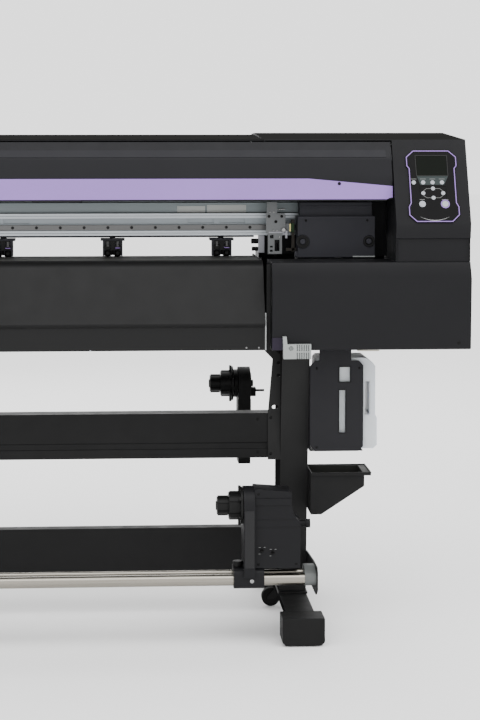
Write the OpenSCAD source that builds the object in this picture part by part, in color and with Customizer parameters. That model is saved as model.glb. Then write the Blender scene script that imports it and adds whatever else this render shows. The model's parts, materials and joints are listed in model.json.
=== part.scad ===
// Free-standing roll-fed print-and-cut plotter on its stand.
// X runs to the right seen from the front, the front is -Y, +Z is up, and the
// origin is on the floor under the middle of the machine. Units are millimetres.

/* [Overall] */
// Overall width over the end covers
machine_w = 2255; // [2255:5:2355]
// Depth over the feet
machine_d = 700; // [700:5:760]
// Thickness of the sheet covers
skin = 3; // [2:0.5:4]

/* [Stand] */
// Distance of each column's centre line from the middle
column_x = 663.5; // [655:0.5:670]
// Width of a column
column_w = 78; // [70:1:80]
// Height of the column's top, where it carries the base frame
column_top = 790; // [790:1:790]
// Height of the leg channel's top face
leg_top = 78; // [78:1:80]
// Radius of a caster wheel
wheel_r = 27; // [24:0.5:27]

/* [Media path] */
// Half width of the platen
platen_half = 557; // [540:1:557]
// Height of the platen's top face
platen_z = 1043; // [1043:1:1043]
// Radius of the grit roller
grit_r = 10; // [8:0.5:10]
// Radius of a pinch roller
pinch_r = 5; // [4:0.5:6]
// Number of pinch roller units
pinch_count = 4; // [2:1:4]
// Spacing of the pinch roller units
pinch_pitch = 309; // [280:1:320]

/* [Take-up] */
// Radius of the take-up tube
tube_r = 16; // [14:0.5:18]
// Height of the take-up tube's axis
tube_z = 177; // [170:1:185]
// Radius of the rod behind the tube
rod_r = 8; // [6:0.5:9]
// Axis height of the take-up hubs
takeup_hub_z = 378; // [370:1:390]

/* [Roll holders] */
// Axis height of the rear roll hubs
roll_hub_z = 639; // [630:1:650]
// Distance of the rear roll rail behind the middle
roll_rail_y = 250; // [240:1:255]

/* [Operation panel] */
// Radius of a small key
small_key_r = 6; // [5:0.5:8]
// Radius of a large key
large_key_r = 9; // [8:0.5:10]
// Travel of a key
key_travel = 0.8; // [0.5:0.1:0.8]

/* [Hidden] */
$fn = 48;

half_w = machine_w / 2;
half_d = machine_d / 2;
gap = 0.5;
running = 0.06;                       // radial clearance of a shaft in its bore

// stand
column_in = column_x - column_w / 2;  // inner face of a column
column_out = column_x + column_w / 2;
column_rear = 60;
shoe_w = 116;
shoe_len = 84;
shoe_x = 666;
caster_trail = 30;
wheel_w = 20;
wheel_z = wheel_r + 2;
front_caster = [column_x, -190];
rear_caster = [645, 94];
upper_beam_y = [-98, -38];
lower_beam_z = [133, 260];
lower_beam_y = [-20, 20];

// body
base_z = [790, 870];
base_y = [-140, 140];
box_in = 922;                         // inner end of the tall end boxes
step_x = 568;                         // where the raised end tops start
cover_in = 582;                       // inner end of the lower covers
cover_half = 919.5;                   // half width of the swinging front cover
top_rear = 1392;
top_front = 1376;
top_y = -200;
bay_top = 1043;

// Y beam, rail and drive
beam_y = [-50, 50];
beam_z = [1103, 1200];
beam_half = 1020;
rail_z = [1119, 1134];
rail_front = -60;
belt_z = 1182;
belt_r = 14;

// rollers
grit_y = -40;
grit_z = platen_z + 0.4 - grit_r;
pinch_z = platen_z + 0.9 + pinch_r;
pinch_x0 = -466;
arm_pivot = [-8, 1098];
lever_pivot = [275, 1180];

// take-up
tube_y = -305;
rod_y = -262;
rod_z = 186;
takeup_y = -285;
clamp_x = [477, 560];

// operation panel: a plane that leans back from the face's lower edge
face_low = [-296, 1148];
face_lean = atan2(top_front - face_low[1], top_y - face_low[0]);
panel_x = 1021;
panel_len = norm([top_front - face_low[1], top_y - face_low[0]]);

// Points of an arc in a plane, from angle a to angle b
function arc(c, r, a, b, n = 6) = [for (i = [0:n]) c + r * [cos(a + (b - a) * i / n), sin(a + (b - a) * i / n)]];

// Extrudes an outline given as [y, z] points along X, from x0 to x1
module along_x(x0, x1) {
  translate([x0, 0, 0]) rotate([90, 0, 90]) linear_extrude(x1 - x0) children();
}

// Extrudes an outline given as [x, z] points along Y, from y0 to y1
module along_y(y0, y1) {
  translate([0, y1, 0]) rotate([90, 0, 0]) linear_extrude(y1 - y0) children();
}

// A box between two corners
module block(x, y, z) {
  translate([x[0], y[0], z[0]]) cube([x[1] - x[0], y[1] - y[0], z[1] - z[0]]);
}

// A cylinder along X through [y, z]
module rod_x(x0, x1, y, z, r) {
  translate([x0, y, z]) rotate([0, 90, 0]) cylinder(h = x1 - x0, r = r);
}

// A cylinder along Y through [x, z]
module rod_y(y0, y1, x, z, r) {
  translate([x, y1, z]) rotate([90, 0, 0]) cylinder(h = y1 - y0, r = r);
}

// Two copies, one on each side
module both_sides() {
  children();
  mirror([1, 0, 0]) children();
}

// Places children on the leaning panel face: local Y runs up it, local Z out of it
module on_panel(x, down) {
  translate([x, top_y, top_front]) rotate([face_lean, 0, 0]) translate([0, -down, 0]) children();
}

// ---- stand ----

column_side = [
  [-152, column_top], [-118, 602], [-80, 300], [-60, leg_top],
  [column_rear, leg_top], [column_rear, column_top]
];
column_hollow = [
  [-148.6, column_top + 1], [-114.8, 602], [-76.8, 300], [-56.6, leg_top - 1],
  [column_rear - skin, leg_top - 1], [column_rear - skin, column_top + 1]
];

module column() {
  difference() {
    along_x(column_in, column_out) polygon(column_side);
    along_x(column_in + skin, column_out - skin) polygon(column_hollow);
  }
}

// Inverted channel that carries the column, the casters and the feet
module leg_channel() {
  difference() {
    block([column_in, column_out], [-266, 266], [58, leg_top]);
    block([column_in + skin, column_out - skin], [-267, 267], [57, leg_top - skin]);
  }
  for (spot = [front_caster, rear_caster])
    translate([spot[0], spot[1], 67]) cylinder(h = leg_top - skin - 67, r = 14);
}

// Plate that ties the column to the upper beam, with its cable hole
module column_flange() {
  along_y(-102, -98) difference() {
    polygon([
      [580, 788], [580, 779], [602, 756], [589, 602], [589, 470],
      [column_in, 470], [column_in, 788]
    ]);
    translate([618.6, 745]) circle(r = 5);
    translate([618.6, 709]) circle(r = 5);
    translate([605.8, 619.7]) circle(r = 5.3);
    translate([612.8, 619.7]) circle(r = 5.3);
    translate([605.8, 614.4]) square([7, 10.6]);
  }
}

module stand_leg() {
  column();
  leg_channel();
  column_flange();
}

module stand_leg_right() { color([0.2, 0.2, 0.21]) stand_leg(); }
module stand_leg_left() { color([0.2, 0.2, 0.21]) mirror([1, 0, 0]) stand_leg(); }

module stand_beams() {
  color([0.19, 0.19, 0.2]) {
    difference() {
      along_x(-column_in, column_in) polygon([
        [upper_beam_y[0], 475], [upper_beam_y[0], 500], [upper_beam_y[0] + 3, 502],
        [upper_beam_y[0] + 3, 517], [upper_beam_y[0], 519], [upper_beam_y[0], 602],
        [upper_beam_y[1], 602], [upper_beam_y[1], 475]
      ]);
      block([-column_in - 1, column_in + 1], [upper_beam_y[0] + 6, upper_beam_y[1] - skin], [478, 599]);
    }
    difference() {
      block([-column_in, column_in], lower_beam_y, lower_beam_z);
      block([-column_in - 1, column_in + 1], [lower_beam_y[0] + skin, lower_beam_y[1] - skin],
        [lower_beam_z[0] + skin, lower_beam_z[1] - skin]);
    }
  }
}

// Foot shoe with chamfered lower corners and its screwed levelling pad
module levelling_foot() {
  x0 = shoe_x - shoe_w / 2;
  x1 = shoe_x + shoe_w / 2;
  difference() {
    along_y(-half_d, -half_d + shoe_len) polygon([
      [x0, 12], [x0 + 9, 3], [x1 - 9, 3], [x1, 12], [x1, leg_top], [x0, leg_top]
    ]);
    translate([shoe_x, -half_d + shoe_len / 2, 2]) cylinder(h = 24, r = 33);
  }
  translate([shoe_x, -half_d + shoe_len / 2, 0]) {
    cylinder(h = 8, r = 30);
    translate([0, 0, 8]) cylinder(h = 18, r = 6);
  }
}

module levelling_feet() {
  color([0.16, 0.16, 0.16])
    both_sides() {
      levelling_foot();
      mirror([0, 1, 0]) levelling_foot();
    }
}

// Caster fork about its swivel axis at the origin, trailing towards +X
module caster_fork(spot, turn) {
  translate([spot[0], spot[1], 0]) rotate([0, 0, turn]) {
    translate([0, 0, 57.5]) cylinder(h = 9, r = 16);
    difference() {
      along_y(-wheel_w / 2 - 4, wheel_w / 2 + 4) polygon([
        [-14, 57.5], [14, 57.5], [caster_trail + 9, 33], [caster_trail + 9, 24],
        [caster_trail - 9, 24], [-14, 50]
      ]);
      translate([caster_trail, 0, wheel_z]) rotate([90, 0, 0])
        cylinder(h = wheel_w + 1, r = wheel_r + 1, center = true);
    }
    rod_y(-wheel_w / 2 - 4, wheel_w / 2 + 4, caster_trail, wheel_z, 4);
  }
}

module caster_wheel(spot, turn) {
  translate([spot[0], spot[1], 0]) rotate([0, 0, turn])
    translate([caster_trail, 0, wheel_z]) rotate([90, 0, 0]) difference() {
      cylinder(h = wheel_w, r = wheel_r, center = true);
      cylinder(h = wheel_w + 1, r = 4 + running, center = true);
      for (side = [-1, 1]) translate([0, 0, side * (wheel_w / 2 + 1)]) difference() {
        cylinder(h = 6, r = wheel_r - 6, center = true);
        cylinder(h = 7, r = 9, center = true);
      }
    }
}

module dark_caster(spot, turn) { color([0.14, 0.14, 0.15]) caster_fork(spot, turn); }
module dark_wheel(spot, turn) { color([0.1, 0.1, 0.1]) caster_wheel(spot, turn); }

module caster_fork_front_right() { dark_caster(front_caster, 90); }
module caster_fork_front_left() { mirror([1, 0, 0]) dark_caster(front_caster, 90); }
module caster_fork_rear_right() { dark_caster(rear_caster, 180); }
module caster_fork_rear_left() { mirror([1, 0, 0]) dark_caster(rear_caster, 180); }
module caster_wheel_front_right() { dark_wheel(front_caster, 90); }
module caster_wheel_front_left() { mirror([1, 0, 0]) dark_wheel(front_caster, 90); }
module caster_wheel_rear_right() { dark_wheel(rear_caster, 180); }
module caster_wheel_rear_left() { mirror([1, 0, 0]) dark_wheel(rear_caster, 180); }

// ---- take-up ----

module takeup_rails() {
  color([0.72, 0.71, 0.67]) difference() {
    union() {
      rod_x(-672, 672, tube_y, tube_z, tube_r);
      rod_x(-672, 672, rod_y, rod_z, rod_r);
    }
    rod_x(-673, 673, tube_y, tube_z, tube_r - 2);
  }
}

// Plates from the columns that hold the tube and rod, with grey end caps
module tube_brackets() {
  cap = concat(
    arc([tube_y, 179], 20, 90, 270, 10), arc([rod_y + 4, 174], 15, 270, 360, 5),
    arc([rod_y + 4, 193], 15, 0, 90, 5), [[tube_y + 20, 208]]
  );
  both_sides() {
    color([0.15, 0.15, 0.16]) along_x(column_out, column_out + 4) polygon([
      [-62, 133], [-62, 200], [-250, 212], [-318, 212], [-330, 200], [-330, 150], [-305, 133]
    ]);
    color([0.62, 0.64, 0.66]) along_x(672, column_out) polygon(cap);
  }
}

// Sleeve that slides on the tube and rod, and the arm above it
module takeup_arm() {
  difference() {
    union() {
      along_x(clamp_x[0], clamp_x[1]) polygon(concat(
        arc([-317, 170], 14, 180, 270), [[-250, 156], [-247, 159]],
        [[-247, 205], [-251, 209]], arc([-317, 195], 14, 90, 180)
      ));
      along_x(504, 534) polygon(concat(
        [[-331, 188], [-338, 188]], arc([takeup_y, takeup_hub_z], 53, 180, 0, 16),
        [[-232, 225], [-247, 209], [-331, 209]]
      ));
    }
    rod_x(clamp_x[0] - 1, clamp_x[1] + 1, tube_y, tube_z, tube_r + running);
    rod_x(clamp_x[0] - 1, clamp_x[1] + 1, rod_y, rod_z, rod_r + running);
    rod_x(503, 535, takeup_y, takeup_hub_z, 8 + running);
  }
}

// Motor housing on the outer side of the arm, open towards the arm
module takeup_housing() {
  difference() {
    along_y(-320, -238) polygon([
      [534, 211], [659, 211], [659, 338], [650, 345], [640, 360], [635, 385],
      [635, 417], [627, 421], [534, 428]
    ]);
    along_y(-317, -241) polygon([
      [533, 214], [656, 214], [656, 336], [648, 343], [637, 359], [632, 385],
      [632, 415], [626, 418], [533, 425]
    ]);
  }
  for (spot = [[553.7, 259.7], [583.6, 254.2]])
    rod_y(-323, -320, spot[0], spot[1], 5);
  rod_x(659, 680, -256, 320, 9);
  rod_x(680, 692, -256, 320, 12);
}

// Gear motor held against the housing's end wall
module takeup_motor() {
  rod_x(575, 656, takeup_y, 300, 24);
}

module takeup_unit() {
  color([0.2, 0.2, 0.21]) {
    takeup_arm();
    takeup_housing();
  }
  color([0.5, 0.5, 0.52]) takeup_motor();
}

module takeup_idler() {
  color([0.2, 0.2, 0.21]) mirror([1, 0, 0]) takeup_arm();
}

// Stepped core hub with ribs: the small step fits a 2 inch core, the big one a 3 inch core
module core_hub(shaft_r, shaft_len) {
  flange_back = 69;
  rotate([0, 90, 0]) rotate_extrude() polygon([
    [0, -3], [12, -3], [12, 0], [24.5, 0], [24.5, 32], [36.5, 32], [36.5, 63], [51, 63],
    [51, flange_back], [shaft_r, flange_back], [shaft_r, flange_back + shaft_len], [0, flange_back + shaft_len]
  ]);
  for (turn = [0:60:300]) rotate([turn, 0, 0]) {
    block([2, 30], [-2, 2], [20, 27.5]);
    block([34, 60], [-2, 2], [30, 39.5]);
    block([58, 65], [-5, 5], [30, 54]);
  }
}

// The drive hub carries the gear disc that the motor turns
module takeup_hub() {
  color([0.15, 0.15, 0.16]) translate([433, takeup_y, takeup_hub_z]) {
    core_hub(8, 56);
    rod_x(110, 120, 0, 0, 24);
  }
}

module takeup_idler_hub() {
  color([0.15, 0.15, 0.16]) mirror([1, 0, 0])
    translate([433, takeup_y, takeup_hub_z]) core_hub(8, 34);
}

// Toggle bat on a short cross pin, just in front of its bushing
module toggle(spot) {
  color([0.75, 0.75, 0.75]) {
    rod_y(-337, -325.5, spot[0], spot[1], 2.2);
    rod_x(spot[0] - 4, spot[0] + 4, -325.5, spot[1], 1.8);
  }
}
module takeup_switch_a() { toggle([553.7, 259.7]); }
module takeup_switch_b() { toggle([583.6, 254.2]); }

// ---- rear roll holders ----

module roll_rail() {
  rail_y = [roll_rail_y - 20, roll_rail_y + 20];
  color([0.17, 0.17, 0.18]) {
    difference() {
      block([-640, 640], rail_y, [430, 500]);
      block([-641, 641], [rail_y[0] + skin, rail_y[1] - skin], [430 + skin, 500 - skin]);
    }
    both_sides() block([640, 648], [column_rear, rail_y[1] + 5], [425, 505]);
  }
}

// Slides on the rail; its post carries the hub's bearing and a clamp screw
module roll_holder() {
  y = roll_rail_y;
  difference() {
    along_x(529, 565) polygon(concat(
      [[y - 35, 401], [y + 35, 401], [y + 35, 520], [y + 46, 600]],
      arc([y, roll_hub_z], 50, -20, 200, 14), [[y - 46, 600], [y - 35, 520]]
    ));
    block([528, 566], [y - 20.4, y + 20.4], [429.6, 500.4]);
    rod_x(528, 566, y, roll_hub_z, 10 + running);
  }
  block([565, 583], [y - 15, y + 15], [601, 626]);
  rod_x(583, 609, y, 617, 3.5);
}

module roll_hub() {
  translate([445, roll_rail_y, roll_hub_z]) {
    core_hub(10, 61);
    rod_x(72, 82, 0, 0, 42);
  }
}

module roll_holder_right() { color([0.17, 0.17, 0.18]) roll_holder(); }
module roll_holder_left() { color([0.17, 0.17, 0.18]) mirror([1, 0, 0]) roll_holder(); }
module roll_hub_right() { color([0.12, 0.12, 0.13]) roll_hub(); }
module roll_hub_left() { color([0.12, 0.12, 0.13]) mirror([1, 0, 0]) roll_hub(); }

// ---- waste ink tank and tray ----

// Chamfered front panel with two sight windows, side flange and shelf
module waste_tank_bracket() {
  color([0.17, 0.17, 0.18]) {
    along_y(-153, -150) difference() {
      polygon([
        [column_out + 1, 520], [717, 501], [840, 501], [853, 514], [853, 743], [840, 757],
        [819, 757], [819, 788], [729, 788], [729, 757], [717, 757], [column_out + 1, 743]
      ]);
      translate([786, 697]) square([29, 41]);
      translate([785, 554]) square([17, 119]);
    }
    block([column_out, column_out + 2.5], [-150, 40], [501, 740]);
    block([column_out + 2.5, 852], [-150, -14], [501, 504]);
  }
}

tank_outline = [
  [722, 506], [884, 506], [894, 516], [894, 591], [889, 603], [889, 738], [882, 748],
  [862, 763], [730, 763], [722, 755]
];

// Blow-moulded bottle with a handle loop and its screw cap
module waste_ink_tank() {
  color([0.74, 0.76, 0.78]) {
    difference() {
      along_y(-140, -25) polygon(tank_outline);
      along_y(-137.5, -27.5) polygon([
        [724.5, 508.5], [883, 508.5], [891.5, 517], [891.5, 590], [856, 592], [856, 706],
        [880, 712], [872, 752], [861, 760.5], [731, 760.5], [724.5, 754]
      ]);
      along_y(-141, -24) polygon([[859, 602], [872, 602], [872, 696], [859, 696]]);
      translate([775, -82, 758]) cylinder(h = 6, r = 17);
    }
    translate([775, -82, 763.3]) difference() {
      cylinder(h = 18, r = 22);
      translate([0, 0, -1]) cylinder(h = 16, r = 19);
    }
  }
}

// Wedge-shaped tray hung on the column's side, with a wide rim
module drip_tray() {
  color([0.16, 0.17, 0.17]) difference() {
    union() {
      along_y(-182, -66) polygon([
        [column_out, 328], [732, 328], [853, 407], [853, 440], [column_out, 440]
      ]);
      block([column_out, 871], [-190, -58], [438, 445]);
    }
    along_y(-179, -69) polygon([
      [column_out + 3, 331], [731, 331], [850, 409], [850, 446], [column_out + 3, 446]
    ]);
  }
}

// ---- body ----

// Base frame tube, posts under the beam, end plates and roller bearing plates
module chassis() {
  color([0.2, 0.2, 0.21]) {
    difference() {
      block([-1100, 1100], base_y, base_z);
      block([-1101, 1101], [base_y[0] + 4, base_y[1] - 4], [base_z[0] + 4, base_z[1] - 4]);
    }
    both_sides() {
      block([940, 1000], [-45, 45], [base_z[1], beam_z[0]]);
      block([1100, 1105], [-150, 240], [815, 1330]);
      difference() {
        block([560, 565], [-140, 100], [base_z[1], platen_z - 3]);
        rod_x(559, 566, grit_y, grit_z, 6 + running);
      }
    }
  }
}

// Platen in two plates, one on each side of the grit roller, each on its own web
module platen() {
  color([0.45, 0.46, 0.42]) difference() {
    union() {
      block([-platen_half, platen_half], [-190, -15], [platen_z - 8, platen_z]);
      block([-platen_half, platen_half], [-134, -128], [base_z[1], platen_z - 8]);
      block([-platen_half, platen_half], [-22, -16], [base_z[1], platen_z - 8]);
    }
    block([-platen_half - 1, platen_half + 1], [grit_y - grit_r - 1, grit_y + grit_r + 1],
      [platen_z - 9, platen_z + 1]);
  }
}

// Curved media guide in front of the platen, its stepped lower lip and end brackets
module apron() {
  front = concat(
    [[-190.5, platen_z]], arc([-190.5, 1006], 36, 92, 155, 7),
    [[-291, 877], [-289, 872], [-283, 867], [-281, 864], [-281, 803]]
  );
  back = [
    [-278, 803], [-278, 866], [-286, 874], [-287.5, 877],
    [-220.5, 1019], [-213, 1029], [-203, 1037], [-190.5, 1040]
  ];
  color([0.19, 0.19, 0.21]) along_x(-565, 565) polygon(concat(front, back));
  color([0.66, 0.68, 0.69]) both_sides() block([556, 565], [-277.5, base_y[0]], [803, 860]);
}

// Guide that leads the media down from the platen to the rear roll
module rear_media_guide() {
  color([0.2, 0.2, 0.21]) along_x(-559.5, 559.5) polygon([
    [-14.5, 1042], [60, 1036], [140, 1008], [200, 962], [235, 905], [241, 860],
    [238, 860], [232, 904], [198, 959], [138.5, 1005], [59, 1033], [-14.5, 1039]
  ]);
}

lower_profile = [
  [-290, bay_top], [-312, 999], [-305, 806], [-290, 803], [256, 803], [256, bay_top]
];

// Hollow shell of an outline given as [y, z], from x0 to x1, with a wall at each end
module end_shell(outline, x0, x1) {
  difference() {
    along_x(x0, x1) polygon(outline);
    along_x(x0 + skin, x1 - skin) offset(delta = -skin) polygon(outline);
  }
}

module lower_cover() {
  difference() {
    end_shell(lower_profile, cover_in, half_w);
    block([cover_in + skin, half_w - skin], [-152, 253], [bay_top - skin - 1, bay_top + 1]);
    block([cover_in + skin, half_w - skin], [-270, 253], [802, 810]);
    block([cover_in - 1, cover_in + skin + 1], [-141, 141], [802, bay_top + 1]);
  }
}

module lower_cover_right() { color([0.18, 0.18, 0.2]) lower_cover(); }

// The left lower cover has the ink station's opening in its rear wall
module lower_cover_left() {
  color([0.18, 0.18, 0.2]) difference() {
    mirror([1, 0, 0]) lower_cover();
    block([-1060, -660], [250, 260], [850, 990]);
  }
}

upper_profile = [
  [top_y, top_front], face_low, [-291, 1108], [-285, 1106], [-285, bay_top + gap],
  [256, bay_top + gap], [256, 1372], [240, 1388], [150, top_rear]
];

// Tall end box, the raised top beside it and the rear wall below that top
module upper_cover() {
  difference() {
    end_shell(upper_profile, box_in, half_w);
    block([box_in - 1, box_in + skin + 1], [-110, 253], [bay_top - 1, 1360]);
    block([box_in + skin, half_w - skin], [-280, 253], [bay_top - 1, bay_top + 5]);
    rod_x(box_in - 1, box_in + skin + 1, cover_pivot[0], cover_pivot[1], 3 + running);
  }
  intersection() {
    along_x(step_x, box_in) difference() {
      polygon(upper_profile);
      offset(delta = -skin) polygon(upper_profile);
    }
    union() {
      block([step_x, box_in], [top_y - 1, 260], [1374, 1400]);
      block([step_x, box_in], [200, 260], [1090, 1400]);
    }
  }
}

// The right one also carries the pivot of the clamp lever on its rear wall
module upper_cover_right() {
  color([0.18, 0.18, 0.19]) {
    upper_cover();
    block([590, 594], [255, lever_pivot[0] + 10], [lever_pivot[1] - 14, lever_pivot[1] + 14]);
    rod_x(594, 626, lever_pivot[0], lever_pivot[1], 4);
  }
}
module upper_cover_left() { color([0.18, 0.18, 0.19]) mirror([1, 0, 0]) upper_cover(); }

// Middle top cover, a little lower than the end tops, with the middle rear wall
module top_cover() {
  color([0.2, 0.2, 0.2]) along_x(-step_x + 0.3, step_x - 0.3) polygon([
    [top_y, top_front], [top_y, top_front - skin], [150, top_rear - 5 - skin],
    [238, 1382], [253, 1366], [253, 1090], [256, 1090], [256, 1368],
    [240, 1385], [150, top_rear - 5]
  ]);
}

cover_pivot = [-196, 1362];
cover_front = [
  [-200.5, 1370], [-212, 1347], [-225, 1328], [-240, 1270], [-245, 1213]
];

// Swinging front cover: folded sheet with end cheeks
module front_cover() {
  color([0.22, 0.22, 0.24]) {
    along_x(-cover_half, cover_half) polygon(concat(cover_front, [
      [-232, 1210], [-232, 1213], [-242, 1215.5], [-237, 1270.5], [-222, 1329],
      [-209.5, 1348.5], [-197.5, 1370]
    ]));
    both_sides() along_x(cover_half - skin, cover_half)
      polygon(concat(cover_front, [[-200, 1213], [-190, 1362], [-194, 1370]]));
    both_sides() rod_x(cover_half, box_in + skin, cover_pivot[0], cover_pivot[1], 3);
  }
}

// Beam with a stepped front: plain face, label strip, slotted strip, rail seat, lower strip
module y_beam() {
  color([0.5, 0.54, 0.54]) {
    difference() {
      along_x(-beam_half, beam_half) polygon([
        [-50, 1103], [-50, 1117], [-46, 1117], [-46, 1152], [-52, 1152], [-52, 1166],
        [-44, 1166], [-44, 1200], [50, 1200], [50, 1103]
      ]);
      block([-beam_half - 1, beam_half + 1], [-38, 44], [1109, 1194]);
      for (x = [-155, 366, 456]) block([x, x + 72], [-47, -42], [1138, 1149]);
    }
  }
  both_sides() {
    color([0.55, 0.55, 0.6]) block([565, 582], [-58, -40], [1054, 1103]);
    color([0.1, 0.1, 0.11]) {
      rod_x(545, 565, -48, 1086.5, 7);
      rod_x(548, 565, -48, 1064.6, 5.5);
    }
  }
}

module linear_rail() {
  color([0.7, 0.7, 0.7]) block([-beam_half, beam_half], [rail_front, -46], rail_z);
}

// Toothed belt on two pulleys, the motor and the idler bracket
module belt_drive() {
  inner = belt_r;
  outer = belt_r + 1.8;
  color([0.12, 0.12, 0.12]) along_y(-57, -49) difference() {
    union() {
      for (side = [-1, 1]) translate([side * 1050, belt_z]) circle(r = outer);
      translate([-1050, belt_z - outer]) square([2100, 2 * outer]);
    }
    for (side = [-1, 1]) translate([side * 1050, belt_z]) circle(r = inner);
    translate([-1050, belt_z - inner]) square([2100, 2 * inner]);
  }
  color([0.7, 0.7, 0.72]) for (side = [-1, 1])
    rod_y(-58, -48, side * 1050, belt_z, inner - 0.1);
  color([0.3, 0.3, 0.32]) {
    rod_y(-48, -30, 1050, belt_z, 6);
    block([beam_half, 1080], [-30, 40], [1150, 1212]);
    block([-1080, -beam_half], [-48, 40], [1160, 1204]);
  }
}

// Capping and wiping station under the parked carriage, with its drain lip
module capping_station() {
  color([0.25, 0.25, 0.27]) difference() {
    block([668, 884], [-139, -64], [base_z[1], bay_top + 1]);
    block([690, 780], [-128, -74], [1036, bay_top + 2]);
    block([800, 870], [-128, -74], [1020, bay_top + 2]);
  }
  color([0.88, 0.85, 0.8]) block([822, 882], [-262, -240], [796, 802.5]);
}

// Ribbed cable duct at the lower left corner of the right cover, with its screw hole
module wiring_duct() {
  color([0.8, 0.81, 0.8]) difference() {
    along_y(-322, -307.5) polygon([
      [610, 844], [620, 844], [622, 823], [687, 823], [687, 783], [612, 783]
    ]);
    rod_y(-323, -316, 632, 812, 6.5);
    for (row = [783.5, 804.5]) for (i = [0:5])
      block([647.5 + i * 6.2, 650.5 + i * 6.2], [-323, -317], [row, row + 17]);
    block([645, 684], [-314, -310], [786, 820]);
  }
}

// Ink station in the left end: rack and eight cartridges
module ink_rack() {
  color([0.2, 0.2, 0.21]) difference() {
    block([-1055, -665], [145, 247], [855, 985]);
    for (i = [0:7]) block([-1050 + i * 48, -1006 + i * 48], [150, 248], [860, 980]);
  }
  color([0.8, 0.82, 0.85]) for (i = [0:7])
    block([-1048 + i * 48, -1008 + i * 48], [152, 290], [862, 970]);
}

// Mains inlet on the rear of the right end
module power_inlet() {
  color([0.08, 0.08, 0.08]) difference() {
    block([1000, 1050], [256, 270], [830, 862]);
    block([1010, 1038], [259, 271], [836, 856]);
  }
  color([0.08, 0.08, 0.08])
    for (x = [1017, 1024, 1031]) block([x - 1, x + 1], [259, 265], [843, 849]);
}

// ---- operation panel ----

// Bezel plate with holes for the keys and the raised display
module operation_panel() {
  color([0.12, 0.12, 0.13]) on_panel(panel_x, 0) difference() {
    linear_extrude(4) difference() {
      translate([bezel_x, 0]) polygon(concat(
        bezel_half, [for (i = [len(bezel_half) - 1:-1:0]) [-bezel_half[i][0], bezel_half[i][1]]]
      ));
      for (spot = small_keys) translate(spot) circle(r = small_key_r + 0.4);
      translate([arrow_spot[0] - 36.4, arrow_spot[1] - 19.8]) square([72.8, 39.6]);
      for (spot = large_keys) translate(spot) circle(r = large_key_r + 0.4);
    }
    translate([bezel_x - 42, -108.5, 2]) cube([84, 58, 3]);
  }
  color([0.2, 0.23, 0.2]) on_panel(panel_x, 0) translate([bezel_x - 41.7, -108.2, 2]) cube([83.4, 57.4, 1.6]);
}

// Right half of the bezel's outline, from the top down, about its middle
bezel_x = 6.5;
bezel_half = [
  [49.5, -34], [70, -53], [70, -80], [64, -88], [64, -188], [70, -199], [70, -224], [49.5, -244]
];

small_keys = [for (i = [0:3]) [-45.5 + i * 26, -128.5]];
arrow_spot = [bezel_x, -160];
large_keys = [[-25, -191.5], [38, -191.5]];
key_base = 1;

module small_key(i) {
  color([0.8, 0.82, 0.86]) on_panel(panel_x, 0)
    translate([small_keys[i][0], small_keys[i][1], key_base]) {
      cylinder(h = 3.6, r = small_key_r);
      translate([0, 0, 3.6]) cylinder(h = 0.8, r1 = small_key_r, r2 = small_key_r - 0.8);
    }
}

module large_key(i) {
  color([0.85, 0.85, 0.88]) on_panel(panel_x, 0)
    translate([large_keys[i][0], large_keys[i][1], key_base]) {
      cylinder(h = 3.6, r = large_key_r);
      translate([0, 0, 3.6]) cylinder(h = 0.8, r1 = large_key_r, r2 = large_key_r - 0.8);
    }
}

module function_key_1() { small_key(0); }
module function_key_2() { small_key(1); }
module function_key_3() { small_key(2); }
module function_key_4() { small_key(3); }
module enter_key() { large_key(1); }
module end_key() { large_key(0); }

// Four-way pad with a raised stud for each direction
module arrow_pad() {
  color([0.8, 0.82, 0.86]) on_panel(panel_x, 0) translate([arrow_spot[0], arrow_spot[1], key_base]) {
    translate([-36, -19.4, 0]) cube([72, 38.8, 3]);
    for (spot = [[-27.5, 0], [27.5, 0], [0, -13.5], [0, 13.5]])
      translate([spot[0], spot[1], 3]) cylinder(h = 1.4, r = 5.5);
  }
}

// ---- carriages ----

// Print carriage: heads in the lower box, bearing block behind it on the rail
module print_carriage() {
  color([0.16, 0.16, 0.18]) {
    difference() {
      block([668, 884], [-150, -80], [1047, 1161]);
      block([690, 780], [-130, -100], [1046, 1056]);
    }
    block([675, 878], [-135, -80], [1161, 1200]);
    block([720, 840], [-80, -66], [1108, 1150]);
    rod_y(-154, -150, 681, 1091.4, 19);
    rod_y(-154, -150, 866.8, 1092, 16);
  }
  color([0.6, 0.6, 0.62]) slide_block(730, 830);
  color([0.2, 0.2, 0.3]) for (x = [696, 738]) block([x, x + 36], [-128, -102], [1049, 1056]);
}

// Bearing block that wraps the linear rail with running clearance
module slide_block(x0, x1) {
  difference() {
    block([x0, x1], [-66, -50.5], [1119.2 - 4, 1134 + 3.8]);
    block([x0 - 1, x1 + 1], [rail_front - 0.4, -50], [1118.6, 1134.4]);
  }
}

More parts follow.
